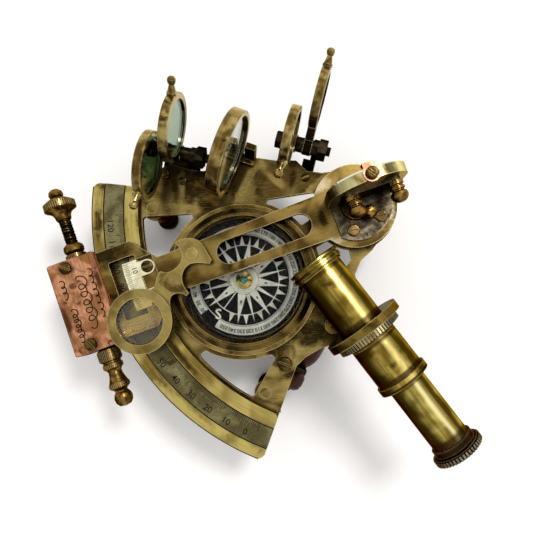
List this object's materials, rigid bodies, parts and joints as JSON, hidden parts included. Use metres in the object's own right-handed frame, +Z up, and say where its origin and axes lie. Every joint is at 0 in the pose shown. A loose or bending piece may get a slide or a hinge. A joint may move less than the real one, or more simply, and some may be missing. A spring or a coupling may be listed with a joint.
{
  "type": "nautical sextant",
  "caption": "Brass sextant on short legs with a swinging index arm, vernier, magnifier, mirrors, green shades, a telescope and a built-in compass.",
  "frame": {"origin": "centre of the flat foot under the index pivot, on the surface the instrument stands on", "axes": "+Z up along the index pivot; -Y from the pivot towards the middle of the divided limb; +X to the side of the telescope's eyepiece"},
  "size_m": [0.1422, 0.1226, 0.0582],
  "materials": {
    "patinated_brass": "antiqued, dark brown in the hollows",
    "worn_brass": "satin, aged, bright on the edges",
    "silvered_strip": "silvered, dull grey green",
    "copper": "satin copper, lightly aged",
    "nickel_silver": "dull plated",
    "blackened_steel": "blackened, worn at the edges",
    "stained_wood": "turned hardwood, stained and polished",
    "clear_glass": "polished, clear",
    "pale_green_glass": "polished, pale green",
    "dark_green_glass": "polished, dark green",
    "green_jewel": "polished, opaque green",
    "silvered_mirror": "silvered glass",
    "printed_card": "printed black and white"
  },
  "bodies": {
    "frame": {"frame_plate": "patinated_brass", "limb": "patinated_brass", "degree_scale": "silvered_strip", "limb_rivets": "worn_brass", "legs": "worn_brass", "pivot_pin": "worn_brass", "pivot_spacer": "patinated_brass", "handle_grip": "stained_wood", "handle_brackets": "blackened_steel", "handle_rod": "blackened_steel", "handle_knob": "stained_wood", "handle_screws": "worn_brass", "compass_bowl": "worn_brass", "compass_glass": "clear_glass", "compass_bezel": "worn_brass", "compass_needle": "blackened_steel", "horizon_bracket": "patinated_brass", "horizon_ring": "worn_brass", "horizon_glass": "clear_glass", "horizon_shade_bracket": "blackened_steel", "horizon_shade_bolt": "blackened_steel", "index_shade_bracket": "blackened_steel", "index_shade_bolt": "blackened_steel", "bracket_screws": "worn_brass", "telescope_holder": "patinated_brass", "telescope_tube": "worn_brass", "objective_lens": "clear_glass", "telescope_nut": "worn_brass"},
    "arm": {"index_arm": "patinated_brass", "vernier_plate": "silvered_strip", "clamp_block": "copper", "arm_screws": "worn_brass", "magnifier_rivet": "worn_brass", "mirror_base": "nickel_silver", "mirror_frame": "worn_brass", "mirror_glass": "silvered_mirror", "mirror_support": "nickel_silver", "mirror_clip": "copper", "clip_screw": "worn_brass", "thumb_screws": "worn_brass"},
    "eyepiece": {"draw_tube": "worn_brass", "eyepiece_cap": "worn_brass", "eyepiece_lens": "clear_glass"},
    "magnifier": {"magnifier_frame": "patinated_brass", "magnifier_lens": "clear_glass"},
    "tangent": {"tangent_screw": "worn_brass", "tangent_knob": "worn_brass", "tangent_tail": "worn_brass"},
    "clamp": {"clamp_thumbscrew": "worn_brass"},
    "card": {"compass_card": "printed_card", "compass_cap": "worn_brass", "compass_jewel": "green_jewel"},
    "horizon_pale": {"horizon_shade_pale_ring": "worn_brass", "horizon_shade_pale_glass": "pale_green_glass"},
    "horizon_dark": {"horizon_shade_dark_ring": "worn_brass", "horizon_shade_dark_glass": "dark_green_glass"},
    "index_pale": {"index_shade_pale_ring": "worn_brass", "index_shade_pale_glass": "pale_green_glass"},
    "index_dark": {"index_shade_dark_ring": "worn_brass", "index_shade_dark_glass": "dark_green_glass"}
  },
  "joints": [
    {"name": "index_arm_swing", "type": "hinge", "parent": "frame", "child": "arm", "pos_m": [0, 0, 0.0296], "axis": [0, 0, 1], "range_deg": [-13, 44]},
    {"name": "magnifier_swing", "type": "hinge", "parent": "arm", "child": "magnifier", "pos_m": [-0.01465, -0.05403, 0.0333], "axis": [0, 0, 1], "range_deg": [-45, 12]},
    {"name": "tangent_turn", "type": "hinge", "parent": "arm", "child": "tangent", "pos_m": [-0.01971, -0.09273, 0.027], "axis": [0.9781, -0.2079, 0], "continuous": true},
    {"name": "clamp_turn", "type": "hinge", "parent": "arm", "child": "clamp", "pos_m": [-0.01823, -0.08578, 0.018], "axis": [0, 0, 1], "range_deg": [0, 180]},
    {"name": "card_turn", "type": "hinge", "parent": "frame", "child": "card", "pos_m": [0.0006, -0.0448, 0.0214], "axis": [0, 0, 1], "continuous": true},
    {"name": "horizon_pale_swing", "type": "hinge", "parent": "frame", "child": "horizon_pale", "pos_m": [-0.0443, -0.0385, 0.032], "axis": [0.6845, 0.729, 0], "range_deg": [-54, 75]},
    {"name": "horizon_dark_swing", "type": "hinge", "parent": "frame", "child": "horizon_dark", "pos_m": [-0.0443, -0.0385, 0.032], "axis": [0.6845, 0.729, 0], "range_deg": [-113, 17]},
    {"name": "index_pale_swing", "type": "hinge", "parent": "frame", "child": "index_pale", "pos_m": [-0.0266, -0.0049, 0.033], "axis": [0.7314, 0.682, 0], "range_deg": [-17, 122]},
    {"name": "index_dark_swing", "type": "hinge", "parent": "frame", "child": "index_dark", "pos_m": [-0.0266, -0.0049, 0.033], "axis": [0.7314, 0.682, 0], "range_deg": [-92, 48]},
    {"name": "eyepiece_draw", "type": "slide", "parent": "frame", "child": "eyepiece", "axis": [0.9954, 0.0958, 0], "range_m": [-0.018, 0.004]}
  ]
}
